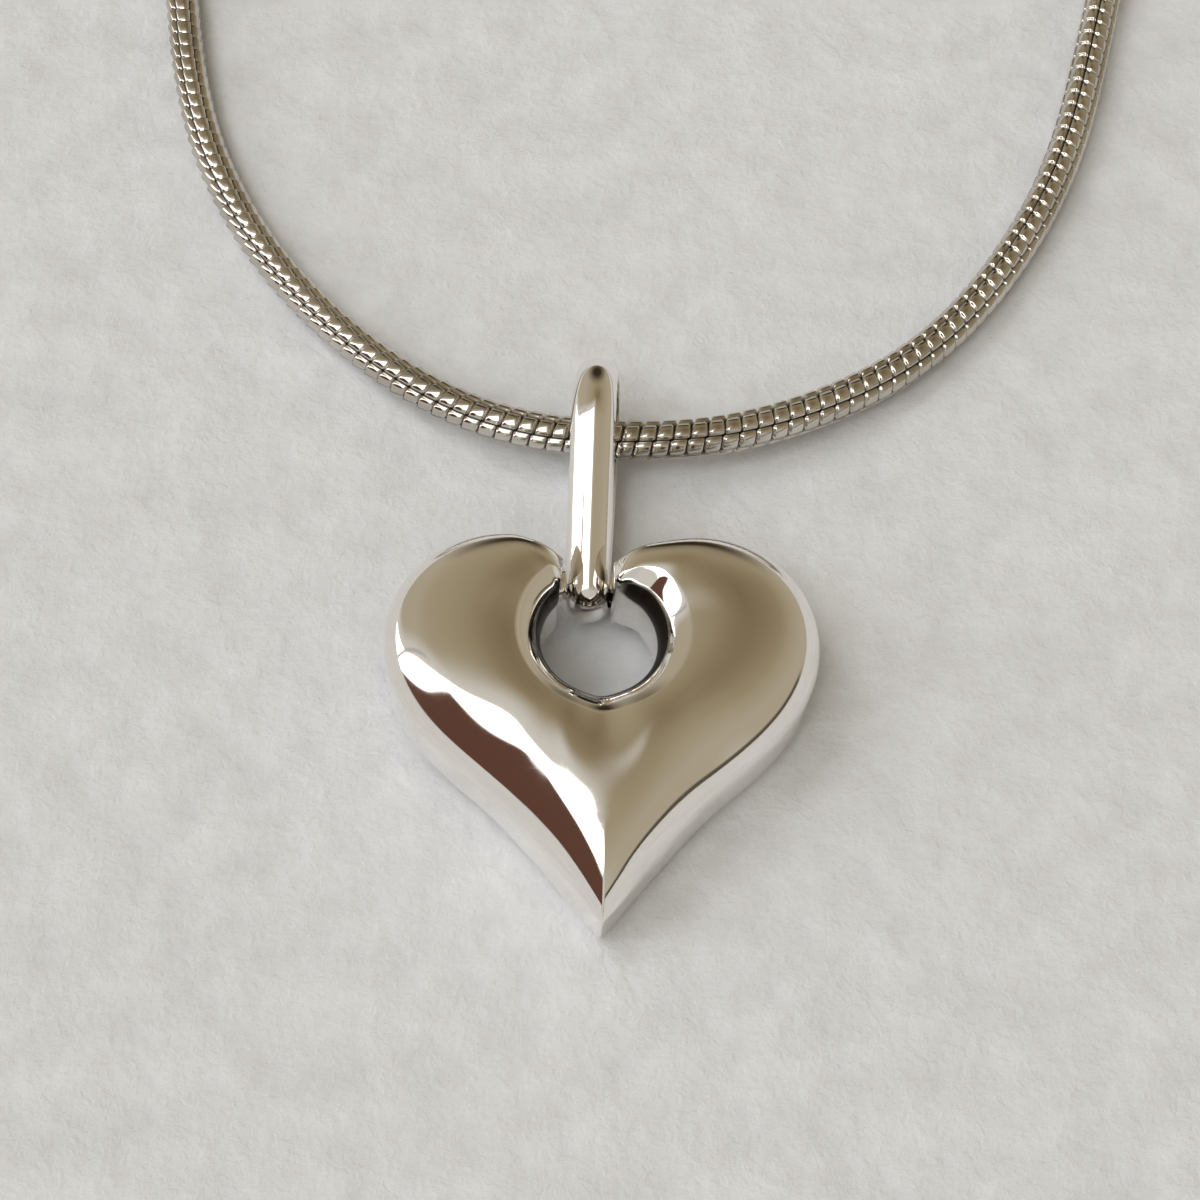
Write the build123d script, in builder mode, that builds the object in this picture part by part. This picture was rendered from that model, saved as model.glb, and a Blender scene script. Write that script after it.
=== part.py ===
"""A puffed heart pendant on a tapered bail, with its round snake chain laid out as a closed loop.

Everything lies on a flat surface at z = 0. +Y runs from the heart's tip up to the clasp, +X to the
right of someone looking at the heart's front. All lengths are in millimetres, all angles in degrees.
"""

import math
import os

from build123d import *

os.makedirs("parts", exist_ok=True)

# Where the pendant lies in the frame, whose origin is the middle of the whole loop on the surface
pendant_x = -2.6
pendant_y = -89.1

# Heart: width over the lobes, thickness at the fullest point, hole across
heart_wide = 16.8
heart_thick = 4.6
hole_wide = 4.5
heart_x = 0.08  # the hole's middle from the pendant's own point
heart_back = 3.58  # and this far towards the tip
heart_rise = 0.70  # its flat back at the hole is this far above the surface
heart_tilt = 3.0  # tip low, cleft raised over the bail
heart_roll = 3.0  # right lobe low

# Slopes of the heart's face, as shares of heart_thick / heart_wide
rim_slope = 1.703  # end of the rounding into the hole, where it meets the face in a line
inner_slope = 0.579  # face at that line, falling towards the hole
outer_slope = 0.710  # face where the shoulder starts, falling outwards
shoulder_slope = 4.675  # end of the shoulder, where the tighter edge starts

# Bail: a tapered loop of half-round strap, standing on edge through the hole
wire_wide = 1.8
wire_deep = 0.8
bail_near_deep = 1.4  # inside of the end in the hole
bail_far_deep = 4.1  # inside of the end that hangs on the chain
bail_far = 8.33  # inside of that end, from the pendant's own point
bail_x = -0.23
bail_roll = -3.0
bail_turn = -3.2

# Chain and clasp
chain_wide = 1.6
clasp_long = 9.0
clasp_wide = 3.4
clasp_end_wide = 2.6
clasp_end_long = 1.6
clasp_socket_deep = 2.2
clasp_lead = 2.6  # the chain runs straight into the clasp from a little further out than this bend
clasp_x = 2.5
clasp_y = 191.0

# Clearances
bail_play = 0.15  # inside of the bail's near end to the wall of the hole, at the cleft
chain_play = 0.1  # chain above the bail's lower leg
socket_play = 0.1  # chain to the wall of the clasp's socket
surface_play = 0.02  # lowest metal above the surface

# Sections through the right half of the heart, in half planes that fan out from the hole's axis.
# angle: from the right-hand side, -90 at the tip and 90 at the cleft
# reach: hole's axis to the outer wall, share of heart_wide
# hole: hole's axis to the hole's wall, share of hole_wide
# peak: height of the face above the mid plane, share of heart_thick
# rim: radius of the rounding into the hole, share of hole_wide
# shoulder: radius of the wide rounding outside the face, share of heart_thick
# edge: radius of the tighter rounding from there to the outer wall, share of heart_thick
# depth: mid plane to the flat back, share of heart_thick
# foot: radius of the roundings of the back, share of heart_thick
heart_sections = [
    # angle, reach, hole, peak, rim, shoulder, edge, depth, foot
    (-90, 0.650, 0.500, 0.47, 0.45, 0.35, 0.46, 0.490, 0.080),
    (-82, 0.565, 0.500, 0.48, 0.43, 0.50, 0.48, 0.490, 0.080),
    (-70, 0.485, 0.500, 0.50, 0.41, 0.65, 0.48, 0.490, 0.080),
    (-54, 0.441, 0.500, 0.50, 0.40, 0.70, 0.46, 0.490, 0.080),
    (-34, 0.452, 0.500, 0.50, 0.40, 0.62, 0.42, 0.490, 0.080),
    (-12, 0.488, 0.500, 0.50, 0.40, 0.52, 0.40, 0.490, 0.080),
    (10, 0.489, 0.500, 0.50, 0.40, 0.44, 0.37, 0.490, 0.080),
    (28, 0.437, 0.500, 0.50, 0.40, 0.42, 0.31, 0.490, 0.080),
    (42, 0.372, 0.500, 0.49, 0.39, 0.34, 0.26, 0.490, 0.080),
    (50, 0.336, 0.515, 0.46, 0.34, 0.24, 0.20, 0.490, 0.080),
    (55, 0.315, 0.570, 0.40, 0.28, 0.18, 0.16, 0.490, 0.085),
    (59, 0.300, 0.640, 0.24, 0.20, 0.13, 0.13, 0.478, 0.090),
    (63, 0.284, 0.716, -0.07, 0.13, 0.09, 0.10, 0.478, 0.095),
    (67, 0.272, 0.708, -0.23, 0.10, 0.08, 0.09, 0.478, 0.095),
    (74, 0.252, 0.676, -0.25, 0.09, 0.07, 0.085, 0.478, 0.095),
    (82, 0.241, 0.657, -0.25, 0.09, 0.06, 0.08, 0.478, 0.095),
    (90, 0.239, 0.651, -0.25, 0.09, 0.05, 0.08, 0.478, 0.095),
]

heart_lift = heart_rise + heart_sections[0][7] * heart_thick
bail_near = heart_sections[-1][2] * hole_wide - heart_back - bail_play
bail_start = bail_near + bail_near_deep / 2
bail_end = bail_far - bail_far_deep / 2
bail_lean = math.atan2((bail_far_deep - bail_near_deep) / 2, bail_end - bail_start)

# The chain's route, as chosen points from the bail to the clasp on each side, from the pendant's
# own point. It rests on the surface at half its width, and is lifted where it crosses the bail.
lying = chain_wide / 2 + surface_play
bail_sine = abs(math.sin(math.radians(bail_roll)))
bail_cosine = math.cos(math.radians(bail_roll))
bail_z = math.hypot(wire_deep * bail_cosine, wire_wide / 2 * bail_sine) + surface_play
crossing = bail_z + wire_wide / 2 * bail_sine + chain_play + chain_wide / 2
step_1 = lying + 0.50 * (crossing - lying)
step_2 = lying + 0.08 * (crossing - lying)
hooked = clasp_wide / 2 + surface_play
step_3 = lying + 0.25 * (hooked - lying)
step_4 = lying + 0.75 * (hooked - lying)
route = {
    "left": [
        (-3.3, 6.69, crossing),
        (-8.0, 9.32, step_1),
        (-12.2, 13.32, step_2),
        (-15.4, 17.7, lying),
        (-17.9, 23.5, lying),
        (-19.3, 33.0, lying),
        (-21.7, 46.0, lying),
        (-25.0, 64.5, lying),
        (-28.3, 87.0, lying),
        (-29.9, 111.0, lying),
        (-28.9, 136.0, lying),
        (-24.6, 159.0, lying),
        (-18.6, 173.8, lying),
        (-13.2, 183.0, step_3),
        (-8.8, 188.4, step_4),
    ],
    "right": [
        (3.4, 6.19, crossing),
        (8.6, 7.82, step_1),
        (13.2, 10.62, step_2),
        (16.8, 14.6, lying),
        (20.2, 20.6, lying),
        (22.6, 29.4, lying),
        (25.6, 42.0, lying),
        (29.7, 60.0, lying),
        (33.2, 83.0, lying),
        (35.0, 107.5, lying),
        (34.2, 133.0, lying),
        (30.0, 157.0, lying),
        (23.4, 173.8, lying),
        (18.2, 183.0, step_3),
        (13.8, 188.4, step_4),
    ],
}

pendant = Plane(origin=(pendant_x, pendant_y, 0))
heart_plane = Plane(origin=(pendant_x + heart_x, pendant_y - heart_back, heart_lift))
heart_plane = heart_plane.rotated((heart_tilt, heart_roll, 0))


def section_plane(angle):
    """Half plane of one heart section: x runs out from the hole's axis, y up through the heart."""
    turn = math.radians(angle)
    out = heart_plane.x_dir * math.cos(turn) + heart_plane.y_dir * math.sin(turn)
    return Plane(origin=heart_plane.origin, x_dir=out, z_dir=out.cross(heart_plane.z_dir))


def arc(centre, radius, start, end):
    """Arc about centre between two directions, counted from straight up towards the outer edge."""
    points = []
    for turn in (start, (start + end) / 2, end):
        points.append((centre[0] + radius * math.sin(turn), centre[1] + radius * math.cos(turn)))
    return points


def heart_arcs(reach, hole, peak, rim, shoulder, edge, depth, foot):
    """Arcs of one section in order: rim, face, shoulder, edge, outer foot and inner foot."""
    steep = heart_thick / heart_wide
    rim_turn = math.atan(rim_slope * steep)
    inner_turn = math.atan(inner_slope * steep)
    outer_turn = math.atan(outer_slope * steep)
    edge_turn = math.atan(shoulder_slope * steep)
    face_start = hole + rim * (1 - math.sin(rim_turn))
    edge_start = reach - edge * (1 - math.sin(edge_turn))
    face_end = edge_start - shoulder * (math.sin(edge_turn) - math.sin(outer_turn))
    face = (face_end - face_start) / (math.sin(inner_turn) + math.sin(outer_turn))
    face_centre = (face_start + face * math.sin(inner_turn), peak - face)
    rim_height = peak - face + face * math.cos(inner_turn) - rim * math.cos(rim_turn)
    shoulder_height = peak - face + (face - shoulder) * math.cos(outer_turn)
    edge_height = shoulder_height + (shoulder - edge) * math.cos(edge_turn)
    quarter = math.pi / 2
    return [
        arc((hole + rim, rim_height), rim, -quarter, -rim_turn),
        arc(face_centre, face, -inner_turn, outer_turn),
        arc((face_end - shoulder * math.sin(outer_turn), shoulder_height), shoulder, outer_turn, edge_turn),
        arc((reach - edge, edge_height), edge, edge_turn, quarter),
        arc((reach - foot, foot - depth), foot, quarter, 2 * quarter),
        arc((hole + foot, foot - depth), foot, 2 * quarter, 3 * quarter),
    ]


with BuildPart() as heart:
    outlines = []
    for angle, reach, hole, peak, rim, shoulder, edge, depth, foot in heart_sections:
        arcs = heart_arcs(
            reach * heart_wide,
            hole * hole_wide,
            peak * heart_thick,
            rim * hole_wide,
            shoulder * heart_thick,
            edge * heart_thick,
            depth * heart_thick,
            foot * heart_thick,
        )
        with BuildLine(section_plane(angle)):
            sides = []
            for k, (start, middle, end) in enumerate(arcs):
                sides.append(ThreePointArc(start, middle, end))
                if k >= 3:  # outer wall, flat back and the hole's wall
                    sides.append(Line(end, arcs[(k + 1) % 6][0]))
        outlines.append(Wire(sides))
    add(Solid.make_loft(outlines))
    mirror(about=Plane(heart_plane.origin, x_dir=heart_plane.y_dir, z_dir=heart_plane.x_dir))
heart.part.label = "heart"

bail_place = Plane(origin=(pendant_x + bail_x, pendant_y, bail_z)).rotated((0, bail_roll, bail_turn))
bail_side = Plane(bail_place.origin, x_dir=bail_place.y_dir, z_dir=bail_place.x_dir)


def bail_inside(end, deep, turn):
    """Point on the inside of one round end of the bail, turn in radians from its far side."""
    return (end + deep / 2 * math.cos(turn), deep / 2 * (1 + math.sin(turn)))


with BuildPart() as bail:
    rising = math.pi / 2 + 2 * bail_lean
    near_top = bail_inside(bail_start, bail_near_deep, rising)
    far_top = bail_inside(bail_end, bail_far_deep, rising)
    near_back = bail_inside(bail_start, bail_near_deep, (rising + 1.5 * math.pi) / 2)
    far_back = bail_inside(bail_end, bail_far_deep, (rising - math.pi / 2) / 2)
    leg_middle = ((near_top[0] + far_top[0]) / 2, (near_top[1] + far_top[1]) / 2)
    with BuildLine(bail_side) as bail_path:
        Line(leg_middle, far_top)
        ThreePointArc(far_top, far_back, (bail_end, 0))
        Line((bail_end, 0), (bail_start, 0))
        ThreePointArc((bail_start, 0), near_back, near_top)
        Line(near_top, leg_middle)
    with BuildSketch(Plane(bail_path.line @ 0, x_dir=bail_place.x_dir, z_dir=bail_path.line % 0)):
        Ellipse(wire_wide / 2, wire_deep)
        Rectangle(2 * wire_wide, 2 * wire_deep, align=(Align.CENTER, Align.MAX), mode=Mode.INTERSECT)
    sweep(path=bail_path.line)
bail.part.label = "bail"


def bend_radii(points):
    """The largest arc that each corner's two runs allow."""
    radii = []
    for before, corner, after in zip(points, points[1:], points[2:]):
        arriving = corner - before
        leaving = after - corner
        half_turn = math.radians(arriving.get_angle(leaving) / 2)
        radii.append(0.45 * min(arriving.length, leaving.length) / math.tan(half_turn))
    return radii


def chain_points(side, clasp_end):
    """Corners of one half of the chain, from where it meets the other half inside the bail."""
    first_left = Vector(*route["left"][0])
    first_right = Vector(*route["right"][0])
    middle = bail_x - first_left.Y * math.tan(math.radians(bail_turn))
    share = (middle - first_left.X) / (first_right.X - first_left.X)
    meeting = first_left + (first_right - first_left) * share
    mouth = clasp_long / 2 + clasp_lead
    seat = clasp_long / 2 - clasp_socket_deep + socket_play
    last = [Vector(clasp_x + clasp_end * reach, clasp_y, hooked) for reach in (mouth, seat)]
    corners = [meeting] + [Vector(*point) for point in route[side]] + last
    return [corner + pendant.origin for corner in corners]


def chain_half(side, clasp_end):
    """Round tube along one half of the route."""
    points = chain_points(side, clasp_end)
    radii = bend_radii(points)
    print("chain", side, "bend radii", [round(radius, 1) for radius in radii])
    with BuildPart() as half:
        with BuildLine() as path:
            FilletPolyline(*points, radius=radii)
        wire = path.wires()[0]
        with BuildSketch(Plane(origin=wire @ 0, z_dir=wire % 0)):
            Circle(chain_wide / 2)
        sweep(path=wire)
    section = math.pi * chain_wide**2 / 4
    print("chain", side, "length", wire.length, "volume", half.part.volume, wire.length * section)
    return half


chain_left = chain_half("left", -1)
chain_left.part.label = "chain_left"
chain_right = chain_half("right", 1)
chain_right.part.label = "chain_right"

clasp_place = Plane(
    origin=(pendant_x + clasp_x, pendant_y + clasp_y, hooked), x_dir=(1, 0, 0), z_dir=(0, -1, 0)
)
with BuildPart() as clasp:
    with BuildSketch(clasp_place):
        with BuildLine():
            socket_radius = chain_wide / 2 + socket_play
            barrel_end = clasp_long / 2 - clasp_end_long
            Polyline(
                (0, 0),
                (clasp_long / 2 - clasp_socket_deep, 0),
                (clasp_long / 2 - clasp_socket_deep, socket_radius),
                (clasp_long / 2, socket_radius),
                (clasp_long / 2, clasp_end_wide / 2),
                (barrel_end, clasp_end_wide / 2),
            )
            Line((barrel_end, clasp_end_wide / 2), (barrel_end, 0.9 * clasp_wide / 2))
            ThreePointArc(
                (barrel_end, 0.9 * clasp_wide / 2),
                (barrel_end / 2, 0.975 * clasp_wide / 2),
                (0, clasp_wide / 2),
            )
            Line((0, clasp_wide / 2), (0, 0))
        make_face()
    revolve(axis=Axis(clasp_place.origin, clasp_place.x_dir))
    mirror(about=Plane(clasp_place.origin, x_dir=clasp_place.y_dir, z_dir=clasp_place.x_dir))
clasp.part.label = "clasp"

for piece in (heart, bail, chain_left, chain_right, clasp):
    export_step(piece.part, "parts/" + piece.part.label + ".step")
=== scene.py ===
"""A puffed heart pendant on a round snake chain, lying on pale felt.

Lengths are written in millimetres, as on a bench drawing, and made metres by MM. The frame is the
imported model's: the surface is at z = 0, +Y runs from the heart's tip to the clasp.
"""

import math

import bpy
import numpy as np
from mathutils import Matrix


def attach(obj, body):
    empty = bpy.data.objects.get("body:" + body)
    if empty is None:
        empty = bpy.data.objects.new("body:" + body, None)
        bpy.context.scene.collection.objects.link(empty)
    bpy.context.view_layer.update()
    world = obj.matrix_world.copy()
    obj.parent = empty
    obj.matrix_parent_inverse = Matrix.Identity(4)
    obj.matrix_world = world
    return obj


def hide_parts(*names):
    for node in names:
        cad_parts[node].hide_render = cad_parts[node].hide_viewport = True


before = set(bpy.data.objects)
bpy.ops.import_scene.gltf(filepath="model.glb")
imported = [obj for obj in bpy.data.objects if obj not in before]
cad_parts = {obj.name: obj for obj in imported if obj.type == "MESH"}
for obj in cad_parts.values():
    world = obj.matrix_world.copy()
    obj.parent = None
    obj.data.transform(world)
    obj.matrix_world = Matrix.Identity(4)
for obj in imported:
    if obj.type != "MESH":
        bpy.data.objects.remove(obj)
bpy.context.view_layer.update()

MM = 0.001
PENDANT = np.array([-2.6, -89.1, 0.0])

# Camera: 63 degrees above the surface, 100 mm from the point on it that the pendant is measured from
CAMERA_HEIGHT_DEG = 63.0
CAMERA_DISTANCE = 100.0
SENSOR_WIDE, LENS = 36.0, 75.0


def place_camera():
    """Looks along the +Y side of the vertical, down to the pendant's own point."""
    lift = math.radians(CAMERA_HEIGHT_DEG)
    back = np.array([0.0, -math.cos(lift), math.sin(lift)])
    data = bpy.data.cameras.new("photo_camera")
    data.sensor_width = SENSOR_WIDE
    data.lens = LENS
    data.clip_start = 0.005
    data.clip_end = 20.0
    camera = bpy.data.objects.new("photo_camera", data)
    camera.location = (PENDANT + back * CAMERA_DISTANCE) * MM
    camera.rotation_euler = (math.pi / 2 - lift, 0.0, 0.0)
    bpy.context.scene.collection.objects.link(camera)
    bpy.context.scene.camera = camera


# ---------------------------------------------------------------------------- meshes


def grid_faces(rows, columns, wrap_rows=False, wrap_columns=False):
    """Four corners of each cell of a grid whose vertex (i, j) has number i * columns + j."""
    i = np.arange(rows if wrap_rows else rows - 1)[:, None]
    j = np.arange(columns if wrap_columns else columns - 1)[None, :]
    below, right = (i + 1) % rows, (j + 1) % columns
    corners = [i * columns + j, i * columns + right, below * columns + right, below * columns + j]
    return np.stack(np.broadcast_arrays(*corners), -1).reshape(-1, 4)


def new_mesh(name, vertices_mm, quads, triangles=(), smooth=True):
    """Mesh object at the origin from arrays of vertices, four-cornered faces and three-cornered faces."""
    quads = np.asarray(quads, np.int32).reshape(-1, 4)
    triangles = np.asarray(triangles, np.int32).reshape(-1, 3)
    mesh = bpy.data.meshes.new(name)
    mesh.vertices.add(len(vertices_mm))
    mesh.vertices.foreach_set("co", (np.asarray(vertices_mm, float) * MM).astype(np.float32).ravel())
    loops = np.concatenate([quads.ravel(), triangles.ravel()])
    starts = np.concatenate([np.arange(len(quads)) * 4, len(quads) * 4 + np.arange(len(triangles)) * 3])
    mesh.loops.add(len(loops))
    mesh.loops.foreach_set("vertex_index", loops.astype(np.int32))
    mesh.polygons.add(len(starts))
    mesh.polygons.foreach_set("loop_start", starts.astype(np.int32))
    mesh.update(calc_edges=True)
    mesh.validate()
    mesh.polygons.foreach_set("use_smooth", np.full(len(mesh.polygons), smooth))
    piece = bpy.data.objects.new(name, mesh)
    bpy.context.scene.collection.objects.link(piece)
    return piece


def turned(axis, degrees):
    """Matrix that turns a column of coordinates about axis 0, 1 or 2."""
    first, second = (axis + 1) % 3, (axis + 2) % 3
    turn = math.radians(degrees)
    matrix = np.eye(3)
    matrix[first, first] = matrix[second, second] = math.cos(turn)
    matrix[second, first], matrix[first, second] = math.sin(turn), -math.sin(turn)
    return matrix


def vertex_values(piece, name, values):
    """Keeps one number per vertex, for the material to read."""
    attribute = piece.data.attributes.new(name, "FLOAT", "POINT")
    attribute.data.foreach_set("value", np.asarray(values, np.float32).ravel())


# ---------------------------------------------------------------------------- heart

HEART_WIDE, HEART_THICK, HOLE_WIDE = 16.8, 4.6, 4.5
HEART_X, HEART_BACK, HEART_LIFT = 0.08, 3.58, 2.954
HEART_TILT_DEG, HEART_ROLL_DEG = 3.0, 3.0
RIM_SLOPE, INNER_SLOPE, OUTER_SLOPE, SHOULDER_SLOPE = 0.4663, 0.1585, 0.1944, 1.280
RIDGE_SOFT_DEG = 9.0
RIM_CREASE = 0.006  # the rim arc stops this short of the line where it meets the face, in radians
TIP_CROWDING = 0.60  # how much closer the sections stand near the tip and the slot
HOLE_X = -0.15  # the hole's wall lies this far to the side of the heart's middle
SLOT_X = -0.50  # and the slot this far
SLOT_FROM_DEG, SLOT_BLEND_DEG = 43, 23  # the lobes move over with the slot from this angle on
# points round a section: rim, face, shoulder, edge, outer wall, outer foot, back, inner foot, inner wall
SECTION_POINTS = (22, 26, 15, 15, 6, 7, 8, 7, 5)
# angle, reach / wide, hole / hole wide, peak / thick, rim / hole wide, then shoulder, edge, depth
# and foot / thick. The sections end at the slot that the bail passes through.
HEART_SECTIONS = np.array([
    (-90, 0.650, 0.500, 0.47, 0.45, 0.35, 0.46, 0.490, 0.080),
    (-82, 0.565, 0.500, 0.48, 0.43, 0.50, 0.48, 0.490, 0.080),
    (-70, 0.485, 0.500, 0.50, 0.41, 0.65, 0.48, 0.490, 0.080),
    (-54, 0.441, 0.500, 0.50, 0.40, 0.70, 0.46, 0.490, 0.080),
    (-34, 0.452, 0.500, 0.50, 0.40, 0.62, 0.42, 0.490, 0.080),
    (-12, 0.488, 0.500, 0.50, 0.40, 0.52, 0.40, 0.490, 0.080),
    (10, 0.489, 0.500, 0.50, 0.40, 0.44, 0.37, 0.490, 0.080),
    (28, 0.437, 0.500, 0.50, 0.40, 0.42, 0.31, 0.490, 0.080),
    (42, 0.368, 0.500, 0.49, 0.39, 0.34, 0.26, 0.490, 0.080),
    (50, 0.318, 0.500, 0.485, 0.36, 0.26, 0.22, 0.490, 0.080),
    (56, 0.277, 0.500, 0.475, 0.28, 0.18, 0.17, 0.490, 0.080),
    (61, 0.247, 0.500, 0.460, 0.18, 0.12, 0.12, 0.485, 0.080),
    (65, 0.223, 0.547, 0.430, 0.10, 0.08, 0.08, 0.480, 0.070),
    (68, 0.205, 0.617, 0.390, 0.055, 0.04, 0.045, 0.478, 0.050),
    (70.5, 0.191, 0.692, 0.350, 0.012, 0.01, 0.012, 0.478, 0.020),
])
# the low bridge under the bail: one section with the same columns after the angle
BRIDGE_SECTION = (0.239, 0.652, -0.25, 0.09, 0.05, 0.08, 0.478, 0.095)
BRIDGE_FROM_DEG, BRIDGE_TO_DEG, BRIDGE_ROWS = 66, 114, 40


def cubic_through(x, y, at):
    """Smooth curve through the points (x, y): piecewise cubics whose slope and bend run on at each
    point, with no bend at the two ends. The bends solve one small set of linear equations."""
    n = len(x)
    h = np.diff(x)
    system = np.eye(n)
    right = np.zeros(n)
    k = np.arange(1, n - 1)
    system[k, k - 1], system[k, k], system[k, k + 1] = h[:-1], 2 * (h[:-1] + h[1:]), h[1:]
    right[1:-1] = 6 * np.diff(np.diff(y) / h)
    bend = np.linalg.solve(system, right)
    k = np.clip(np.searchsorted(x, at) - 1, 0, n - 2)
    t = at - x[k]
    slope = np.diff(y)[k] / h[k] - h[k] * (2 * bend[k] + bend[k + 1]) / 6
    return y[k] + t * (slope + t * (bend[k] / 2 + t * (bend[k + 1] - bend[k]) / (6 * h[k])))


def heart_surface(fans=240):
    """The heart as a closed tube around its hole.

    One parameter is the angle round the hole's axis, the other runs round the section: over the
    rim arc from the hole's wall, the long shallow face arc, the wide shoulder arc and the tighter
    edge arc, down the outer wall, round the foot, along the flat back and up the hole's wall. The
    face meets the rim in a line; every other arc starts in the direction in which the last one
    ended. Near the tip the section changes more slowly on the face than on the wall, so that the
    ridge down the middle of the face is soft and the tip is sharp. The right half is mirrored in
    x, and the two halves share the tip. Both end in a thin flat cap at the slot for the bail, and a
    low bridge of one constant section joins them below it. Returns the points, the faces and how
    far each point is inside the hole's dark ring of painted shade.
    """
    # more fans near the tip and the slot, where the outline turns quickly
    even = np.linspace(-1, 1, fans)
    last = HEART_SECTIONS[-1, 0]
    crowded = even + TIP_CROWDING * np.sin(math.pi * even) / math.pi
    angle = (last - 90) / 2 + (last + 90) / 2 * crowded

    quarter = math.pi / 2
    scales = (HEART_WIDE, HOLE_WIDE, HEART_THICK, HOLE_WIDE) + (HEART_THICK,) * 4
    slopes = [RIM_SLOPE, INNER_SLOPE, OUTER_SLOPE, SHOULDER_SLOPE]
    rim_turn, inner_turn, outer_turn, edge_turn = np.arctan(slopes)
    rim_n, face_n, shoulder_n, edge_n, outer_wall_n, outer_foot_n, back_n, inner_foot_n = SECTION_POINTS[:8]
    ends = np.cumsum(SECTION_POINTS)
    face_at, shoulder_at, _, outer_wall_at, _, back_at, inner_foot_at, _, columns = ends

    def arc(centre_r, centre_z, radius, start, end, steps):
        turn = np.linspace(start, end, steps)[None, :]
        return np.stack([
            centre_r[:, None] + radius[:, None] * np.sin(turn),
            centre_z[:, None] + radius[:, None] * np.cos(turn),
        ], -1)

    def line(first, last, steps):
        share = np.linspace(0, 1, steps + 2)[None, 1:-1, None]
        return first[:, None] * (1 - share) + last[:, None] * share

    def sections(at, constant=None):
        reach, hole, peak, rim, shoulder, edge, depth, foot = (
            cubic_through(HEART_SECTIONS[:, 0], HEART_SECTIONS[:, c + 1], at) * scales[c]
            if constant is None
            else np.full(len(at), constant[c] * scales[c])
            for c in range(8)
        )
        face_start = hole + rim * (1 - np.sin(rim_turn))
        edge_start = reach - edge * (1 - np.sin(edge_turn))
        face_end = edge_start - shoulder * (np.sin(edge_turn) - np.sin(outer_turn))
        face = (face_end - face_start) / (np.sin(inner_turn) + np.sin(outer_turn))
        face_centre = face_start + face * np.sin(inner_turn)
        rim_height = peak - face + face * np.cos(inner_turn) - rim * np.cos(rim_turn)
        shoulder_height = peak - face + (face - shoulder) * np.cos(outer_turn)
        edge_height = shoulder_height + (shoulder - edge) * np.cos(edge_turn)
        shoulder_centre = face_end - shoulder * np.sin(outer_turn)
        rim_arc = arc(hole + rim, rim_height, rim, -quarter, -rim_turn - RIM_CREASE, rim_n)
        face_arc = arc(face_centre, peak - face, face, -inner_turn, outer_turn, face_n)
        shoulder_arc = arc(
            shoulder_centre, shoulder_height, shoulder, outer_turn, edge_turn, shoulder_n + 1
        )
        edge_arc = arc(reach - edge, edge_height, edge, edge_turn, quarter, edge_n + 1)
        outer_foot = arc(reach - foot, foot - depth, foot, quarter, 2 * quarter, outer_foot_n)
        inner_foot = arc(hole + foot, foot - depth, foot, 2 * quarter, 3 * quarter, inner_foot_n)
        parts = [
            rim_arc,
            face_arc,
            shoulder_arc[:, 1:],
            edge_arc[:, 1:],
            line(edge_arc[:, -1], outer_foot[:, 0], outer_wall_n),
            outer_foot,
            line(outer_foot[:, -1], inner_foot[:, 0], back_n),
            inner_foot,
            line(inner_foot[:, -1], rim_arc[:, 0], SECTION_POINTS[8]),
        ]
        return np.concatenate(parts, 1)

    # near the tip the front of the section is that of an angle which comes to rest at the middle
    rest = -90 + np.hypot(angle + 90, RIDGE_SOFT_DEG)
    ring = np.arange(columns)
    ease = np.interp(ring, [shoulder_at - 1, outer_wall_at - 3], [1, 0])
    near_tip = np.clip((-40 - angle) / 30, 0, 1)[:, None, None]
    ease = ease[None, :, None] * near_tip * near_tip * (3 - 2 * near_tip)
    section = sections(angle) * (1 - ease) + sections(rest) * ease

    def fan(section, at):
        turn = np.radians(at)[:, None]
        out, height = section[..., 0], section[..., 1]
        return np.stack([out * np.cos(turn), out * np.sin(turn), height], -1)

    right = fan(section, angle)
    right[0, :, 0] = 0.0
    left = right[:0:-1] * np.array([-1.0, 1.0, 1.0])
    body = np.concatenate([left, right])
    all_angles = np.concatenate([angle[:0:-1], angle])
    aside = np.clip((all_angles - SLOT_FROM_DEG) / SLOT_BLEND_DEG, 0, 1)
    body[..., 0] += (SLOT_X * aside * aside * (3 - 2 * aside))[:, None]
    body[..., 0] += HOLE_X * np.interp(ring, [0, face_at, back_at, inner_foot_at], [1, 0, 0, 1])
    across = np.linspace(BRIDGE_FROM_DEG, BRIDGE_TO_DEG, BRIDGE_ROWS)
    bridge = fan(sections(across, BRIDGE_SECTION), across)
    bridge[..., 0] += SLOT_X
    rows = len(body)
    rows_in_all = rows + BRIDGE_ROWS
    body_quads = grid_faces(rows, columns, False, True)
    bridge_quads = grid_faces(BRIDGE_ROWS, columns, False, True) + rows * columns
    # a fan of triangles closes each end: of the body's two, then of the bridge's
    triangles = []
    for row, flip in ((0, -1), (rows - 1, 1), (rows, -1), (rows_in_all - 1, 1)):
        middle = rows_in_all * columns + len(triangles)
        loop = row * columns + ring
        triangles.append(np.stack([np.full(columns, middle), loop, np.roll(loop, -1)], -1)[:, ::flip])
    middles = np.stack([end.mean(0) for end in (body[0], body[-1], bridge[0], bridge[-1])])
    points = np.concatenate([body.reshape(-1, 3), bridge.reshape(-1, 3), middles])
    points = points @ (turned(0, HEART_TILT_DEG) @ turned(1, HEART_ROLL_DEG)).T
    place = PENDANT + np.array([HEART_X, -HEART_BACK, HEART_LIFT])
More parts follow.
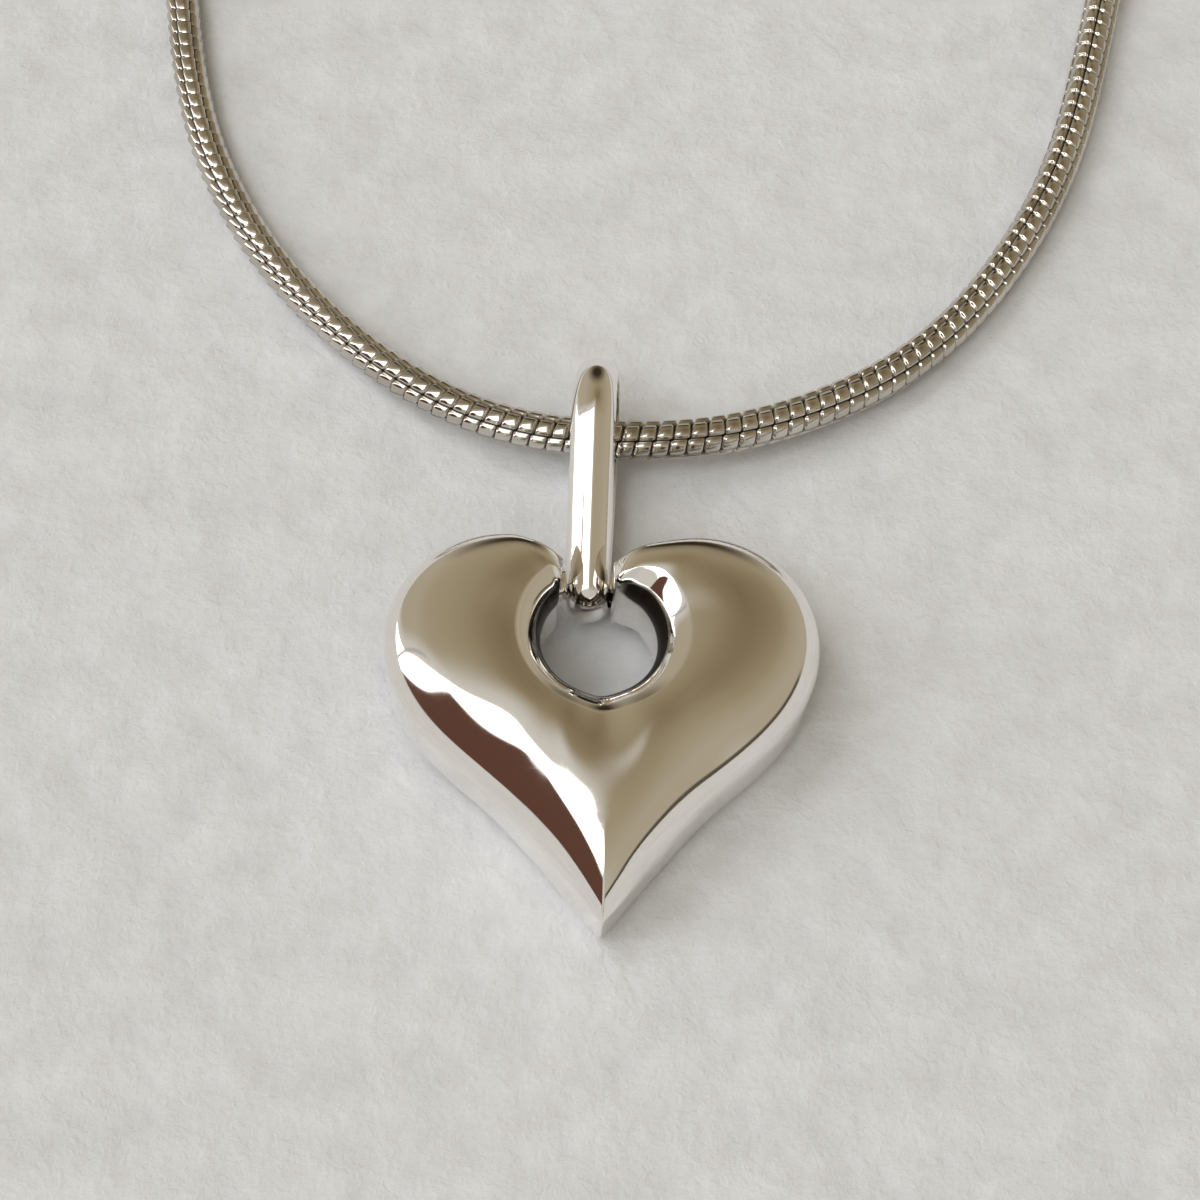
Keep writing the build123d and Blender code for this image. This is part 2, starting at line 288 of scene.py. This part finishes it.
    # the first, steep part of the rim gets painted shade, fading out towards the slot
    painted_rim_shade = np.interp(ring, [0, 9, 13], [1, 1, 0])
    painted_rim_shade = painted_rim_shade[None, :] * np.clip((64 - all_angles) / 10, 0, 1)[:, None]
    painted_rim_shade = np.concatenate([painted_rim_shade.ravel(), np.zeros(len(points) - painted_rim_shade.size)])
    quads = np.concatenate([body_quads, bridge_quads])
    return points + place, quads, np.concatenate(triangles), painted_rim_shade


# ---------------------------------------------------------------------------- bail

WIRE_WIDE, WIRE_DEEP = 1.8, 0.8
BAIL_NEAR_RADIUS, BAIL_FAR_RADIUS = 0.7, 2.05
BAIL_START, BAIL_END = -0.1005, 6.28
BAIL_X, BAIL_Z = -0.40, 0.8203
BAIL_ROLL_DEG, BAIL_TURN_DEG = -2.4, -3.2
# at the start of the lower leg, the far end, the upper leg, the near end and the lower leg again:
BAIL_NARROW = (0.90, 0.86, 1.0, 1.0, 0.90)  # the strap's share of its full width
BAIL_PACE = (0, 0.10, 0.50, 0.66, 1.0)  # the share of the rows that lie before it
CORNER_ROUND, CORNER_CUT = 0.10, 0.05  # left off the half ellipse in radians, and off the flat side


def bail_surface(along=240, around=64, flat_points=16):
    """Half-round strap carried round a tapered loop.

    The loop lies in an upright plane: a lower leg on the surface, a wide half circle at the chain,
    a sloping upper leg that touches both half circles, and a narrow half circle in the heart's
    hole. Its parameter is the distance along it. The strap's section is a half ellipse that stands
    outwards from a flat inner side, with rounded corners. It narrows on the lower leg.
    """
    leg = BAIL_END - BAIL_START
    lean = math.atan2(BAIL_FAR_RADIUS - BAIL_NEAR_RADIUS, leg)
    far = BAIL_FAR_RADIUS * (math.pi + 2 * lean)
    near = BAIL_NEAR_RADIUS * (math.pi - 2 * lean)
    stops = np.cumsum([0.0, leg, far, leg, near])
    # the two ends get more rows than the legs
    pace = np.interp(np.arange(along) / along, BAIL_PACE, stops)
    down, up = -math.pi / 2, math.pi / 2 + 2 * lean
    turn = np.interp(pace, stops, [down, down, up, up, down + 2 * math.pi])
    centre_y = np.interp(pace, stops, [BAIL_START, BAIL_END, BAIL_END, BAIL_START, BAIL_START])
    ends = [BAIL_NEAR_RADIUS, BAIL_FAR_RADIUS, BAIL_FAR_RADIUS, BAIL_NEAR_RADIUS, BAIL_NEAR_RADIUS]
    radius = np.interp(pace, stops, ends)
    out_y, out_z = np.cos(turn), np.sin(turn)
    inner_y = centre_y + radius * out_y
    inner_z = radius + radius * out_z
    # half ellipse outside, flat side inside, the corners between them rounded
    bow = np.linspace(-1, 1, around - flat_points) * (math.pi / 2 - CORNER_ROUND)
    flat = np.linspace(1, -1, flat_points) * (WIRE_WIDE / 2 - CORNER_CUT)
    across = np.concatenate([WIRE_WIDE / 2 * np.sin(bow), flat])
    height = np.concatenate([WIRE_DEEP * np.cos(bow), np.zeros(flat_points)])
    narrow = np.interp(pace, stops, BAIL_NARROW)
    points = np.stack([
        across[None, :] * narrow[:, None],
        inner_y[:, None] + height[None, :] * out_y[:, None],
        inner_z[:, None] + height[None, :] * out_z[:, None],
    ], -1)
    points = points @ (turned(1, BAIL_ROLL_DEG) @ turned(2, BAIL_TURN_DEG)).T
    points = points + PENDANT + np.array([BAIL_X, 0.0, BAIL_Z])
    return points.reshape(-1, 3), grid_faces(along, around, True, True)[:, ::-1]


# ---------------------------------------------------------------------------- clasp

CLASP_LONG, CLASP_WIDE = 9.0, 3.4
CLASP_END_LONG, CLASP_SOCKET_DEEP = 1.6, 2.2
CLASP_X, CLASP_Y, CLASP_Z = 2.5, 191.0, 1.72
BARREL_CROWN = 0.1  # the barrel's ends are narrower than its middle by this share
BARREL_LINE_DEEP, BARREL_LINE_WIDE = 0.05, 0.07
# distance inwards from the clasp's end, radius: the socket's floor and wall, round its lip, the collar
COLLAR_END = np.array([
    (CLASP_SOCKET_DEEP, 0.9),
    (0.08, 0.9),
    (0.02, 0.92),
    (0.0, 0.98),
    (0.0, 1.18),
    (0.05, 1.27),
    (0.15, 1.3),
])
# distance outwards from the barrel's end, radius: the collar, its round and the barrel's flat end
COLLAR_ROOT = np.array([(0.12, 1.3), (0.03, 1.3), (0.0, 1.34), (0.0, 1.46), (0.0, 1.51)])


def clasp_surface(around=96):
    """Barrel clasp: a profile of distance along the barrel and radius, turned about the barrel.

    The half profile runs from the socket's floor, along the socket's wall and the collar to the
    shallow barrel and a fine line round its middle, with a small round on each edge. The other
    half is its mirror image, and each socket's floor closes in a pole.
    """
    half = CLASP_LONG / 2
    shoulder = half - CLASP_END_LONG
    t = np.linspace(0, 1, 25)
    barrel_x = shoulder * (1 - t)
    bulge = np.sqrt(np.clip(1 - (barrel_x / shoulder) ** 2, 0, 1))
    barrel_r = 0.5 * CLASP_WIDE * (1 - BARREL_CROWN + BARREL_CROWN * bulge)
    barrel_r = barrel_r - BARREL_LINE_DEEP * np.exp(-((barrel_x / BARREL_LINE_WIDE) ** 2))
    x = np.concatenate([half - COLLAR_END[:, 0], shoulder + COLLAR_ROOT[:, 0], barrel_x[1:]])
    r = np.concatenate([COLLAR_END[:, 1], COLLAR_ROOT[:, 1], barrel_r[1:]])
    x = np.concatenate([x, -x[-2::-1]])
    r = np.concatenate([r, r[-2::-1]])
    turn = np.arange(around) / around * 2 * math.pi
    ring = np.stack([
        x[:, None] + 0 * turn[None, :],
        r[:, None] * np.cos(turn)[None, :],
        r[:, None] * np.sin(turn)[None, :],
    ], -1)
    rows = len(x)
    place = PENDANT + np.array([CLASP_X, CLASP_Y, CLASP_Z])
    poles = np.array([[x[0], 0, 0], [x[-1], 0, 0]])
    points = np.concatenate([ring.reshape(-1, 3), poles]) + place
    quads = grid_faces(rows, around, False, True)
    j = np.arange(around)
    nxt = (j + 1) % around
    first = np.stack([np.full(around, rows * around), nxt, j], -1)
    last_row = (rows - 1) * around
    last = np.stack([np.full(around, rows * around + 1), last_row + j, last_row + nxt], -1)
    return points, quads[:, ::-1], np.concatenate([first, last])[:, ::-1]


# ---------------------------------------------------------------------------- chain

CHAIN_WIDE = 1.6
LYING, CROSSING, STEP_1, STEP_2 = 0.82, 1.7674, 1.2937, 0.8958
HOOKED, STEP_3, STEP_4 = 1.72, 1.045, 1.495
MEETING = (0.144, 6.433, CROSSING)
ROUTE_LEFT = [
    (-3.3, 6.69, CROSSING),
    (-8.0, 9.32, STEP_1),
    (-12.2, 13.32, STEP_2),
    (-15.4, 17.7, LYING),
    (-17.9, 23.5, LYING),
    (-19.3, 33.0, LYING),
    (-21.7, 46.0, LYING),
    (-25.0, 64.5, LYING),
    (-28.3, 87.0, LYING),
    (-29.9, 111.0, LYING),
    (-28.9, 136.0, LYING),
    (-24.6, 159.0, LYING),
    (-18.6, 173.8, LYING),
    (-13.2, 183.0, STEP_3),
    (-8.8, 188.4, STEP_4),
    (-4.6, 191.0, HOOKED),
    (0.1, 191.0, HOOKED),
]
ROUTE_RIGHT = [
    (3.4, 6.19, CROSSING),
    (8.6, 7.82, STEP_1),
    (13.2, 10.62, STEP_2),
    (16.8, 14.6, LYING),
    (20.2, 20.6, LYING),
    (22.6, 29.4, LYING),
    (25.6, 42.0, LYING),
    (29.7, 60.0, LYING),
    (33.2, 83.0, LYING),
    (35.0, 107.5, LYING),
    (34.2, 133.0, LYING),
    (30.0, 157.0, LYING),
    (23.4, 173.8, LYING),
    (18.2, 183.0, STEP_3),
    (13.8, 188.4, STEP_4),
    (9.6, 191.0, HOOKED),
    (4.9, 191.0, HOOKED),
]
PITCH = 0.69
SIDES = 6
STARTS = 2  # of the screw that the gaps wind in
SLANT_SHARE = 0.55  # of a gap's step that it makes across a row; the rest is its jump between rows
CORE_SHARE = 0.66  # the core's share of the chain's radius
CHAIN_END = 0.15  # left free at each end of the line
# along one link from gap to gap, and across one row from groove to groove: place, height of the plate
ALONG = np.array([(0.0, 0.0), (0.10, 0.90), (0.20, 0.99), (0.82, 0.99), (0.90, 0.90)])
ACROSS = np.array([(0.0, 0.05), (0.10, 0.95), (0.33, 1.0), (0.67, 1.0), (0.90, 0.95)])
# distance along the chain from the bail, minus on the left: turn of the skin in degrees
TWIST = np.array([
    (-400, 0),
    (-50, 20),
    (-25, 30),
    (-12, 42),
    (-2, 47),
    (3, 31),
    (12, 41),
    (60, 60),
    (400, 80),
], float)
# the same distance: how far a plate drops over its length, towards the right end of the chain
LEAN = np.array([(-90, 0.20), (-45, 0.60), (-18, 0.60), (-9, 0.45), (-3, 0.12), (3, 0.0), (40, -0.10)])


def route_line(name, route):
    """Points along the smooth spline that has the route's points as its control points."""
    curve = bpy.data.curves.new(name, "CURVE")
    curve.dimensions = "3D"
    spline = curve.splines.new("NURBS")
    spline.points.add(len(route) - 1)
    for point, place in zip(spline.points, route):
        point.co = (*((np.array(place) + PENDANT) * MM), 1.0)
    spline.order_u = 3
    spline.use_endpoint_u = True
    spline.resolution_u = 32
    holder = bpy.data.objects.new(name, curve)
    line = bpy.data.meshes.new_from_object(holder)
    points = np.zeros(len(line.vertices) * 3)
    line.vertices.foreach_get("co", points)
    bpy.data.meshes.remove(line)
    bpy.data.objects.remove(holder)
    bpy.data.curves.remove(curve)
    return points.reshape(-1, 3) / MM


def chain_surface():
    """The whole snake chain as one closed tube whose skin is made of small plates.

    One parameter counts along the chain in links, the other goes round it. Round the chain are six
    rows of plates on a circle, with a shallow groove between rows. Along the chain each plate is
    nearly flat and drops at both ends into a narrow gap, and on the left arm it leans towards the
    heart like a scale. The gaps wind about the chain as a screw with two starts, in steps: they
    slant a little across each row and jump a little at each groove. The skin turns slowly about its
    line as a laid chain does. Returns the points, the faces and how deep each point lies in a gap,
    which the material turns into painted shade.
    """
    left = route_line("left_line", [MEETING] + ROUTE_LEFT)
    right = route_line("right_line", [MEETING] + ROUTE_RIGHT)
    line = np.concatenate([left[::-1], right[1:]])
    keep = np.concatenate([[True], np.linalg.norm(np.diff(line, axis=0), axis=1) > 1e-6])
    line = line[keep]
    station = np.concatenate([[0], np.cumsum(np.linalg.norm(np.diff(line, axis=0), axis=1))])
    total = station[-1]
    meeting = np.linalg.norm(np.diff(left, axis=0), axis=1).sum()
    tangent = np.gradient(line, station, axis=0)
    tangent /= np.linalg.norm(tangent, axis=1)[:, None]
    up = np.array([0.0, 0.0, 1.0]) - tangent * tangent[:, 2:3]
    up /= np.linalg.norm(up, axis=1)[:, None]
    side = np.cross(tangent, up)

    per_link, per_row = len(ALONG), len(ACROSS)
    lag = per_link * STARTS
    slant = SLANT_SHARE * STARTS / SIDES
    jump = STARTS / SIDES - slant

    skinned = total - 2 * CHAIN_END
    links = int(skinned / PITCH)
    pitch = skinned / links
    u = (np.arange(links)[:, None] + ALONG[None, :, 0]).ravel()
    row = np.repeat(np.arange(SIDES), per_row)
    across = np.tile(ACROSS[:, 0], SIDES)
    angle = (row + across) / SIDES * 2 * math.pi
    # the groove at each row's edge lies in the middle of its two plates
    stepped = np.where(across == 0, -0.5 * jump, 0.0)
    shift = slant * (row + across) + jump * row + stepped + 0.5 * jump
    s = ((u[:, None] - shift[None, :] + STARTS) * pitch + CHAIN_END)[:-lag]
    rows = len(s)

    # height of the skin: plates stand proud of a core
    high = np.tile(ALONG[:, 1], links)[:rows, None] * np.tile(ACROSS[:, 1], SIDES)[None, :]
    # how deep the point lies in a gap or groove, for the painted shade there
    painted_shade = 1 - high
    lean = np.interp(s - meeting, LEAN[:, 0], LEAN[:, 1])
    share = np.tile(ALONG[:, 0], links)[:rows, None]
    high = high - np.maximum(lean, 0) * share * high + np.minimum(lean, 0) * (1 - share) * high
    crown = CHAIN_WIDE / 2
    core = CORE_SHARE * crown
    radius = core + (crown - core) * high
    turn = angle[None, :] + np.interp(s, TWIST[:, 0] + meeting, np.radians(TWIST[:, 1]))

    def at(values):
        return np.stack([np.interp(s, station, values[:, k]) for k in range(3)], -1)

    centre, across_dir, up_dir = at(line), at(side), at(up)
    out = np.cos(turn)[..., None] * up_dir + np.sin(turn)[..., None] * across_dir
    points = centre + radius[..., None] * out

    columns = SIDES * per_row
    number = np.arange(rows * columns).reshape(rows, columns)
    inner = [number[:-1, :-1], number[1:, :-1], number[1:, 1:], number[:-1, 1:]]
    # the first column meets the last one a whole screw turn further on
    seam = [number[lag:-1, -1], number[lag + 1 :, -1], number[1:-lag, 0], number[: -lag - 1, 0]]
    quads = np.concatenate([np.stack(inner, -1).reshape(-1, 4), np.stack(seam, -1)])[:, ::-1]
    first = np.concatenate([number[0], number[1 : lag + 1, -1]])
    last = np.concatenate([number[-1, ::-1], number[-2 : -lag - 2 : -1, 0]])
    poles = np.array([points[0].mean(0), points[-1].mean(0)])
    caps = []
    for pole, loop in ((rows * columns, first), (rows * columns + 1, last)):
        caps.append(np.stack([np.full(len(loop), pole), loop, np.roll(loop, -1)], -1))
    points = np.concatenate([points.reshape(-1, 3), poles])
    return points, quads, np.concatenate(caps)[:, ::-1], np.append(painted_shade.ravel(), [1, 1])


# ---------------------------------------------------------------------------- materials


def socket(group, name, direction, kind, value=None):
    made = group.interface.new_socket(name=name, in_out=direction, socket_type=kind)
    if value is not None:
        made.default_value = value
    return made


def math_node(nodes, operation, first, second=None, clamp=False):
    """Math node; each of first and second is a number or a socket."""
    node = nodes.new("ShaderNodeMath")
    node.operation = operation
    node.use_clamp = clamp
    for slot, value in zip(node.inputs, (first, second)):
        if value is None:
            continue
        if isinstance(value, (int, float)):
            slot.default_value = value
        else:
            node.id_data.links.new(value, slot)
    return node.outputs[0]


def polish_group():
    """Worn polish: hairline scratches in two directions, soft clouding and a faint hammered wave."""
    group = bpy.data.node_groups.new("polish", "ShaderNodeTree")
    socket(group, "Base Roughness", "INPUT", "NodeSocketFloat", 0.07)
    socket(group, "Wear", "INPUT", "NodeSocketFloat", 1.0)
    socket(group, "Scratch Size", "INPUT", "NodeSocketFloat", 900.0)
    socket(group, "Roughness", "OUTPUT", "NodeSocketFloat")
    socket(group, "Height", "OUTPUT", "NodeSocketFloat")
    socket(group, "Cloud", "OUTPUT", "NodeSocketFloat")
    nodes, links = group.nodes, group.links
    given = nodes.new("NodeGroupInput")
    result = nodes.new("NodeGroupOutput")
    place = nodes.new("ShaderNodeTexCoord")
    scratches = []
    for turn, stretch in ((0.5, (1.0, 0.035, 1.0)), (-1.1, (0.04, 1.0, 1.0))):
        mapping = nodes.new("ShaderNodeMapping")
        mapping.inputs["Rotation"].default_value = (0.3, 0.2, turn)
        mapping.inputs["Scale"].default_value = stretch
        links.new(place.outputs["Object"], mapping.inputs["Vector"])
        noise = nodes.new("ShaderNodeTexNoise")
        noise.inputs["Detail"].default_value = 2.0
        links.new(mapping.outputs[0], noise.inputs["Vector"])
        scale = math_node(nodes, "MULTIPLY", given.outputs["Scratch Size"], 14.0)
        links.new(scale, noise.inputs["Scale"])
        lines = math_node(nodes, "SUBTRACT", noise.outputs["Fac"], 0.62)
        scratches.append(math_node(nodes, "MULTIPLY", lines, 6.0, True))
    scratch = math_node(nodes, "MAXIMUM", scratches[0], scratches[1])
    cloud = nodes.new("ShaderNodeTexNoise")
    cloud.inputs["Scale"].default_value = 260.0
    cloud.inputs["Detail"].default_value = 4.0
    links.new(place.outputs["Object"], cloud.inputs["Vector"])
    wear = math_node(nodes, "MULTIPLY", scratch, given.outputs["Wear"])
    haze = math_node(nodes, "SUBTRACT", cloud.outputs["Fac"], 0.45, True)
    haze = math_node(nodes, "MULTIPLY", haze, 0.10)
    worn = math_node(nodes, "MULTIPLY", wear, 0.06)
    rough = math_node(nodes, "ADD", given.outputs["Base Roughness"], worn)
    links.new(math_node(nodes, "ADD", rough, haze), result.inputs["Roughness"])
    wave = nodes.new("ShaderNodeTexNoise")
    wave.inputs["Scale"].default_value = 170.0
    wave.inputs["Detail"].default_value = 1.0
    links.new(place.outputs["Object"], wave.inputs["Vector"])
    low = math_node(nodes, "MULTIPLY", wave.outputs["Fac"], 0.6)
    grooves = math_node(nodes, "MULTIPLY", wear, 0.02)
    links.new(math_node(nodes, "SUBTRACT", low, grooves), result.inputs["Height"])
    links.new(cloud.outputs["Fac"], result.inputs["Cloud"])
    return group


POLISH = polish_group()


def metal(name, colour, dull, base_roughness, wear=1.0, scratch_size=900.0, bump_mm=0.006, painted_shade_colour=None):
    """Polished metal. Where a shade colour is given, the colour darkens to it as painted shade and dulls
    down in the gaps.
    """
    material = bpy.data.materials.new(name)
    material.use_nodes = True
    nodes, links = material.node_tree.nodes, material.node_tree.links
    shader = nodes["Principled BSDF"]
    shader.inputs["Metallic"].default_value = 1.0
    polish = nodes.new("ShaderNodeGroup")
    polish.node_tree = POLISH
    polish.inputs["Base Roughness"].default_value = base_roughness
    polish.inputs["Wear"].default_value = wear
    polish.inputs["Scratch Size"].default_value = scratch_size
    tint = nodes.new("ShaderNodeMix")
    tint.data_type = "RGBA"
    tint.inputs["A"].default_value = (*colour, 1.0)
    tint.inputs["B"].default_value = (*dull, 1.0)
    spread = nodes.new("ShaderNodeMapRange")
    spread.inputs["From Min"].default_value = 0.42
    spread.inputs["From Max"].default_value = 0.68
    links.new(polish.outputs["Cloud"], spread.inputs["Value"])
    links.new(spread.outputs["Result"], tint.inputs["Factor"])
    base = tint.outputs["Result"]
    rough = polish.outputs["Roughness"]
    # painted shade: the colour darkens in the chain's gaps and on the heart's steep rim, where shade falls
    if painted_shade_colour is not None:
        painted_shade = nodes.new("ShaderNodeAttribute")
        painted_shade.attribute_name = "painted_shade"
        down = nodes.new("ShaderNodeMapRange")
        down.inputs["From Min"].default_value = 0.25
        down.inputs["From Max"].default_value = 0.80
        links.new(painted_shade.outputs["Fac"], down.inputs["Value"])
        painted_shade_mix = nodes.new("ShaderNodeMix")
        painted_shade_mix.data_type = "RGBA"
        painted_shade_mix.inputs["B"].default_value = (*painted_shade_colour, 1.0)
        links.new(down.outputs["Result"], painted_shade_mix.inputs["Factor"])
        links.new(base, painted_shade_mix.inputs["A"])
        base = painted_shade_mix.outputs["Result"]
        rough = math_node(nodes, "ADD", rough, math_node(nodes, "MULTIPLY", down.outputs["Result"], 0.35))
    links.new(base, shader.inputs["Base Color"])
    links.new(rough, shader.inputs["Roughness"])
    bump = nodes.new("ShaderNodeBump")
    bump.inputs["Strength"].default_value = 1.0
    bump.inputs["Distance"].default_value = bump_mm * MM
    links.new(polish.outputs["Height"], bump.inputs["Height"])
    links.new(bump.outputs["Normal"], shader.inputs["Normal"])
    return material


def felt():
    """Off-white felt: soft mottling, matted fibres and shallow lumps."""
    material = bpy.data.materials.new("pale_felt")
    material.use_nodes = True
    nodes, links = material.node_tree.nodes, material.node_tree.links
    shader = nodes["Principled BSDF"]
    shader.inputs["Roughness"].default_value = 1.0
    shader.inputs["Specular IOR Level"].default_value = 0.1
    place = nodes.new("ShaderNodeTexCoord")
    lumps = nodes.new("ShaderNodeTexNoise")
    lumps.inputs["Scale"].default_value = 420.0
    lumps.inputs["Detail"].default_value = 7.0
    lumps.inputs["Roughness"].default_value = 0.62
    fibres = nodes.new("ShaderNodeTexNoise")
    fibres.inputs["Scale"].default_value = 1400.0
    fibres.inputs["Detail"].default_value = 4.0
    fibres.inputs["Distortion"].default_value = 1.2
    for texture in (lumps, fibres):
        links.new(place.outputs["Object"], texture.inputs["Vector"])
    ramp = nodes.new("ShaderNodeValToRGB")
    ramp.color_ramp.elements[0].position = 0.3
    ramp.color_ramp.elements[0].color = (0.635, 0.650, 0.680, 1.0)
    ramp.color_ramp.elements[1].position = 0.7
    ramp.color_ramp.elements[1].color = (0.735, 0.755, 0.790, 1.0)
    links.new(lumps.outputs["Fac"], ramp.inputs["Fac"])
    links.new(ramp.outputs["Color"], shader.inputs["Base Color"])
    fine = math_node(nodes, "MULTIPLY", fibres.outputs["Fac"], 0.15)
    height = math_node(nodes, "ADD", lumps.outputs["Fac"], fine)
    bump = nodes.new("ShaderNodeBump")
    bump.inputs["Strength"].default_value = 0.6
    bump.inputs["Distance"].default_value = 0.5 * MM
    links.new(height, bump.inputs["Height"])
    links.new(bump.outputs["Normal"], shader.inputs["Normal"])
    return material


# ---------------------------------------------------------------------------- room


FLOOR_WIDE = 3000.0
FILL_WIDE, FILL_AWAY, FILL_WATTS = 600.0, 1400.0, 4.0
FILL_WAY = (-0.50, 0.30, 0.85)


def floor():
    """Large flat sheet at z = 0."""
    half = FLOOR_WIDE / 2
    corners = [(-half, -half, 0), (half, -half, 0), (half, half, 0), (-half, half, 0)]
    sheet = new_mesh("floor", corners, [(0, 1, 2, 3)], smooth=False)
    sheet.data.materials.append(felt())


def room_light():
    """The room that the metal mirrors, coloured by direction, and a weak fill for the floor alone.

    Warm grey all round, browner nearly overhead and dark far ahead, low down, with a thin dark line
    low on the right. A tall bright window fills the left side up to the zenith, with a soft glow on
    its far side and one thin bar. A dark red shape stands in front of the window, low on the near
    left, and the near side is pale.
    """
    world = bpy.data.worlds.new("room")
    bpy.context.scene.world = world
    world.use_nodes = True
    nodes, links = world.node_tree.nodes, world.node_tree.links
    background = nodes["Background"]
    direction = nodes.new("ShaderNodeTexCoord").outputs["Generated"]
    split = nodes.new("ShaderNodeSeparateXYZ")
    links.new(direction, split.inputs[0])
    x, y, z = split.outputs

    def spread(first, second, factor, lift=0.0):
        """first + factor * second + lift"""
        value = math_node(nodes, "ADD", first, math_node(nodes, "MULTIPLY", second, factor))
        return math_node(nodes, "ADD", value, lift)

    def above_zero(value):
        """The greater of value and 0, with a soft turn between them"""
        node = nodes.new("ShaderNodeMath")
        node.operation = "SMOOTH_MAX"
        links.new(value, node.inputs[0])
        node.inputs[1].default_value = 0.0
        node.inputs[2].default_value = 0.22
        return node.outputs[0]

    def away_from(place):
        node = nodes.new("ShaderNodeVectorMath")
        node.operation = "DISTANCE"
        links.new(direction, node.inputs[0])
        node.inputs[1].default_value = place
        return node.outputs["Value"]

    def ramp(value, stops):
        node = nodes.new("ShaderNodeValToRGB")
        elements = node.color_ramp.elements
        while len(elements) < len(stops):
            elements.new(0.5)
        for element, (position, colour) in zip(elements, stops):
            element.position = position
            element.color = (*colour, 1.0)
        links.new(value, node.inputs["Fac"])
        return node.outputs["Color"]

    def share(*edges):
        """Product of soft steps; each edge is (value, where it is 0, where it is 1)."""
        product = None
        for value, low, high in edges:
            node = nodes.new("ShaderNodeMapRange")
            node.interpolation_type = "SMOOTHSTEP"
            node.inputs["From Min"].default_value = low
            node.inputs["From Max"].default_value = high
            links.new(value, node.inputs["Value"])
            step = node.outputs["Result"]
            product = step if product is None else math_node(nodes, "MULTIPLY", product, step)
        return product

    def over(under, amount, colour):
        node = nodes.new("ShaderNodeMix")
        node.data_type = "RGBA"
        links.new(amount, node.inputs["Factor"])
        links.new(under, node.inputs["A"])
        node.inputs["B"].default_value = (*colour, 1.0)
        return node.outputs["Result"]

    room = ramp(away_from((0.25, 0.40, 0.882)), [
        (0.00, (0.195, 0.146, 0.082)),
        (0.15, (0.240, 0.185, 0.110)),
        (0.30, (0.300, 0.245, 0.155)),
        (0.50, (0.345, 0.290, 0.190)),
        (0.95, (0.410, 0.355, 0.265)),
    ])
    room = over(room, share((away_from((0.08, 0.95, 0.30)), 0.58, 0.12)), (0.035, 0.024, 0.012))
    room = over(room, share((y, -0.50, -0.75)), (0.55, 0.53, 0.49))
    room = over(room, share((z, 0.13, 0.07), (x, 0.15, 0.45), (y, 0.10, -0.10)), (0.09, 0.075, 0.05))
    # how far past the window's far edge, which is bent at both sides and drops towards the horizon
    beyond = y
    for value, factor in (
        (math_node(nodes, "ADD", x, 0.22), 0.35),
        (spread(-0.60, x, -1.0), 0.30),
        (spread(0.30, z, -1.0), 1.2),
    ):
        beyond = spread(beyond, above_zero(value), -factor)
    room = over(room, share((beyond, 0.25, 0.02), (x, 0.17, 0.0)), (0.60, 0.57, 0.52))
    room = over(room, share((beyond, -0.02, -0.06), (x, 0.03, -0.02), (y, -0.66, -0.55)), (3.2, 3.15, 3.05))
    bar = math_node(nodes, "ABSOLUTE", spread(y, x, 0.05, -0.045))
    room = over(room, share((bar, 0.026, 0.012), (x, -0.50, -0.65)), (0.42, 0.40, 0.38))
    # the dark shape: its left edge, which runs further left close to the horizon, near edge and top edge
    edge = math_node(nodes, "SUBTRACT", spread(y, x, -0.375), above_zero(spread(0.34, z, -0.8)))
    near, top = spread(y, x, -1.25), spread(x, y, 0.20)
    shape = share((edge, 0.03, -0.03), (near, -0.05, 0.05), (top, -0.52, -0.60))
    room = over(room, shape, (0.11, 0.05, 0.034))
    links.new(room, background.inputs["Color"])
    background.inputs["Strength"].default_value = 1.0

    light = bpy.data.lights.new("fill", "AREA")
    light.size = FILL_WIDE * MM
    light.energy = FILL_WATTS
    light.color = (1.0, 0.995, 0.985)
    holder = bpy.data.objects.new("fill", light)
    way = np.array(FILL_WAY) / np.linalg.norm(FILL_WAY)
    holder.location = (PENDANT + way * FILL_AWAY) * MM
    holder.rotation_euler = (0.0, math.acos(way[2]), math.atan2(way[1], way[0]))
    holder.visible_camera = False
    holder.visible_glossy = False
    bpy.context.scene.collection.objects.link(holder)


# ---------------------------------------------------------------------------- making

place_camera()
floor()
room_light()
bpy.context.scene.view_settings.view_transform = "Standard"

silver = metal(
    "polished_silver",
    (0.93, 0.91, 0.88),
    (0.90, 0.875, 0.835),
    base_roughness=0.055,
    # painted shade for the steep part of the heart's hole rim
    painted_shade_colour=(0.04, 0.032, 0.025),
)
bright_wire = metal("bright_wire", (0.94, 0.92, 0.89), (0.91, 0.885, 0.85), base_roughness=0.06, wear=0.8)
chain_metal = metal(
    "chain_silver",
    (0.68, 0.64, 0.585),
    (0.54, 0.50, 0.44),
    base_roughness=0.10,
    scratch_size=1300.0,
    # painted shade for the gaps between the plates
    painted_shade_colour=(0.03, 0.024, 0.018),
)

points, quads, triangles, painted_rim_shade = heart_surface()
heart = new_mesh("puffed_heart", points, quads, triangles)
vertex_values(heart, "painted_shade", painted_rim_shade)
heart.data.materials.append(silver)
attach(heart, "root")
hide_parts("heart")

bail = new_mesh("oval_bail", *bail_surface())
bail.data.materials.append(bright_wire)
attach(bail, "root")
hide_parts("bail")

points, quads, triangles, painted_shade = chain_surface()
chain = new_mesh("snake_chain", points, quads, triangles)
vertex_values(chain, "painted_shade", painted_shade)
chain.data.materials.append(chain_metal)
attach(chain, "root")
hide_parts("chain_left", "chain_right")

clasp = new_mesh("barrel_clasp", *clasp_surface())
clasp.data.materials.append(bright_wire)
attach(clasp, "root")
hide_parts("clasp")
